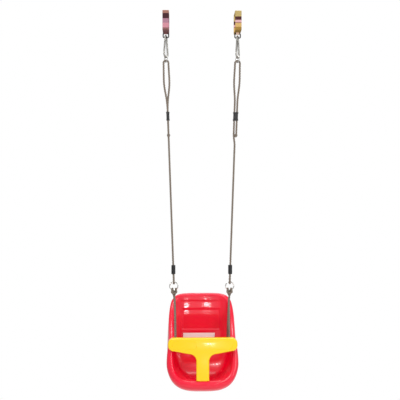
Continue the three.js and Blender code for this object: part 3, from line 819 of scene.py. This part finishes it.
def t_bar(material):
    front = SEAT_Y + BAR_FRONT
    bar = flat_curve("t_bar", bar_outline(), BAR_DEPTH, 6.0, material)
    bar.data.transform(Matrix.Translation((0, (front + BAR_DEPTH / 2) / 1000, 0)))
    near, far = front + 6, front + BAR_DEPTH + 8
    boxes = [
        (-114, -37, BAR_END_BOTTOM + 5, BAR_TOP - 6), (37, 114, BAR_END_BOTTOM + 5, BAR_TOP - 6),
        (-31, 31, BAR_MID_BOTTOM + 8, BAR_TOP - 6), (-24, 24, STEM_FOOT + 12, BAR_MID_BOTTOM + 2),
    ]
    tools = [
        soft_block(f"pocket_{i}", (x0, near, z0), (x1, far, z1), 4, material)
        for i, (x0, x1, z0, z1) in enumerate(boxes)]
    cut(bar, tools)
    pieces = [bar]
    for side, word in ((-1, "left"), (1, "right")):
        x = side * STRAND_X
        low = (x - EAR_HALF, SEAT_Y - 122, EAR_BOTTOM)
        high = (x + EAR_HALF, SEAT_Y - 66, EAR_TOP)
        ear = soft_block(f"ear_{word}", low, high, 5, material)
        pieces += [ear, race_track(f"track_{word}", side, front + 0.5, material)]
    tongue = soft_block(
        "tongue", (-20, SEAT_Y - 146, STEM_FOOT - 8), (20, SEAT_Y - 138, STEM_FOOT + 6), 1.5, material)
    whole = join("t_bar", pieces + [tongue])
    whole.data.shade_smooth()
    smooth = whole.modifiers.new("edges", "EDGE_SPLIT")
    smooth.split_angle = math.radians(35)
    return show(whole, "tee", "t_bar", "t_bar")


# ---- light and camera ----
def area_light(name, location, target, width, height, power):
    data = bpy.data.lights.new(name, "AREA")
    data.shape = "RECTANGLE"
    data.size = width
    data.size_y = height
    data.energy = power
    obj = bpy.data.objects.new(name, data)
    obj.location = location
    aim = Vector(target) - Vector(location)
    obj.rotation_euler = aim.to_track_quat("-Z", "Y").to_euler()
    bpy.context.scene.collection.objects.link(obj)


def world_light():
    """Plain white behind the swing, with softer grey light on it."""
    world = bpy.data.worlds.new("studio")
    bpy.context.scene.world = world
    world.use_nodes = True
    nodes, links = world.node_tree.nodes, world.node_tree.links
    nodes.clear()
    seen = nodes.new("ShaderNodeBackground")
    seen.inputs["Color"].default_value = (1, 1, 1, 1)
    light = nodes.new("ShaderNodeBackground")
    light.inputs["Color"].default_value = (1, 1, 1, 1)
    light.inputs["Strength"].default_value = WORLD_STRENGTH
    path = nodes.new("ShaderNodeLightPath")
    mix = nodes.new("ShaderNodeMixShader")
    output = nodes.new("ShaderNodeOutputWorld")
    links.new(path.outputs["Is Camera Ray"], mix.inputs[0])
    links.new(light.outputs[0], mix.inputs[1])
    links.new(seen.outputs[0], mix.inputs[2])
    links.new(mix.outputs[0], output.inputs[0])


def floor():
    """Pale floor under the swing, too small to reach into the view from the front."""
    bpy.ops.mesh.primitive_plane_add(size=2 * FLOOR_HALF, location=(0, 0, FLOOR_Z))
    plane = bpy.context.object
    plane.name = "floor"
    plane.data.materials.append(new_material("floor", linear(PALE_FLOOR), 0.8))


def camera():
    data = bpy.data.cameras.new("camera")
    data.sensor_width = 36.0
    data.lens = 36.0 * CAMERA_DISTANCE / FIELD_WIDTH
    obj = bpy.data.objects.new("camera", data)
    bpy.context.scene.collection.objects.link(obj)
    target = Vector(LOOK_AT)
    turn = math.radians(VIEW_TURN)
    obj.location = target + CAMERA_DISTANCE * Vector((-math.sin(turn), -math.cos(turn), 0))
    obj.rotation_euler = (target - obj.location).to_track_quat("-Z", "Y").to_euler()
    bpy.context.scene.camera = obj


def studio():
    world_light()
    area_light("key", (-0.8, -2.2, 0.6), (0, 0, -1.5), 1.3, 0.12, 34)
    area_light("glint", (0.167, -2.2, -2.01), (0.07, -0.17, -1.57), 0.13, 0.04, 1.6)
    area_light("fill", (1.8, -2.0, -0.9), (0, 0, -1.5), 1.0, 1.6, 22)
    area_light("top", (0.2, 0.6, 1.2), (0, 0, -1.4), 1.6, 1.2, 40)
    bpy.context.scene.view_settings.view_transform = "Standard"


def main():
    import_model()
    steel = metal_material("zinc", ZINC, 0.32)
    gate_steel = metal_material("gate_zinc", DARK_ZINC, 0.36)
    bright = metal_material("ring_steel", RING_STEEL, 0.18)
    black_steel = new_material("black_steel", linear(BLACK_STEEL), 0.45)
    black_plastic = new_material("black_plastic", linear(BLACK_PLASTIC), 0.45)
    rope = rope_material()
    red = plastic_material("red_plastic", RED, 0.3, 0.3)
    yellow = plastic_material("yellow_plastic", YELLOW, 0.26, 0.25)
    white = new_material("white_label", linear(WHITE), 0.5)
    webbing = {
        "left": strap_material("strap_left", LEFT_TINT_AND_PAINTED_LIGHT),
        "right": strap_material("strap_right", RIGHT_TINT_AND_PAINTED_LIGHT),
    }
    for word, side in (("left", -1), ("right", 1)):
        strap(word, side, webbing[word])
        strap_eye(word, side, black_steel)
        hook(word, side, steel, gate_steel)
        top = ring(f"top_ring_show_{word}", TOP_RING, (side * STRAP_X, 0, TOP_RING_Z), TOP_RING_TURN, bright)
        show(top, "ropes", "top_ring", f"top_ring_{word}")
        main_rope(word, side, rope)
        sleeve(word, side, black_plastic)
        adjuster(word, side, black_plastic)
        low = (side * LOWER_X, 0, SEAT_PIVOT_Z - LOWER_RING)
        lower = ring(f"lower_ring_show_{word}", LOWER_RING, low, -90, bright)
        show(lower, "seat", "lower_ring", f"lower_ring_{word}")
        seat_rope(word, side, rope)
    seat(red)
    rope_lugs(red)
    seat_label(white)
    t_bar(yellow)
    floor()
    camera()
    studio()


main()
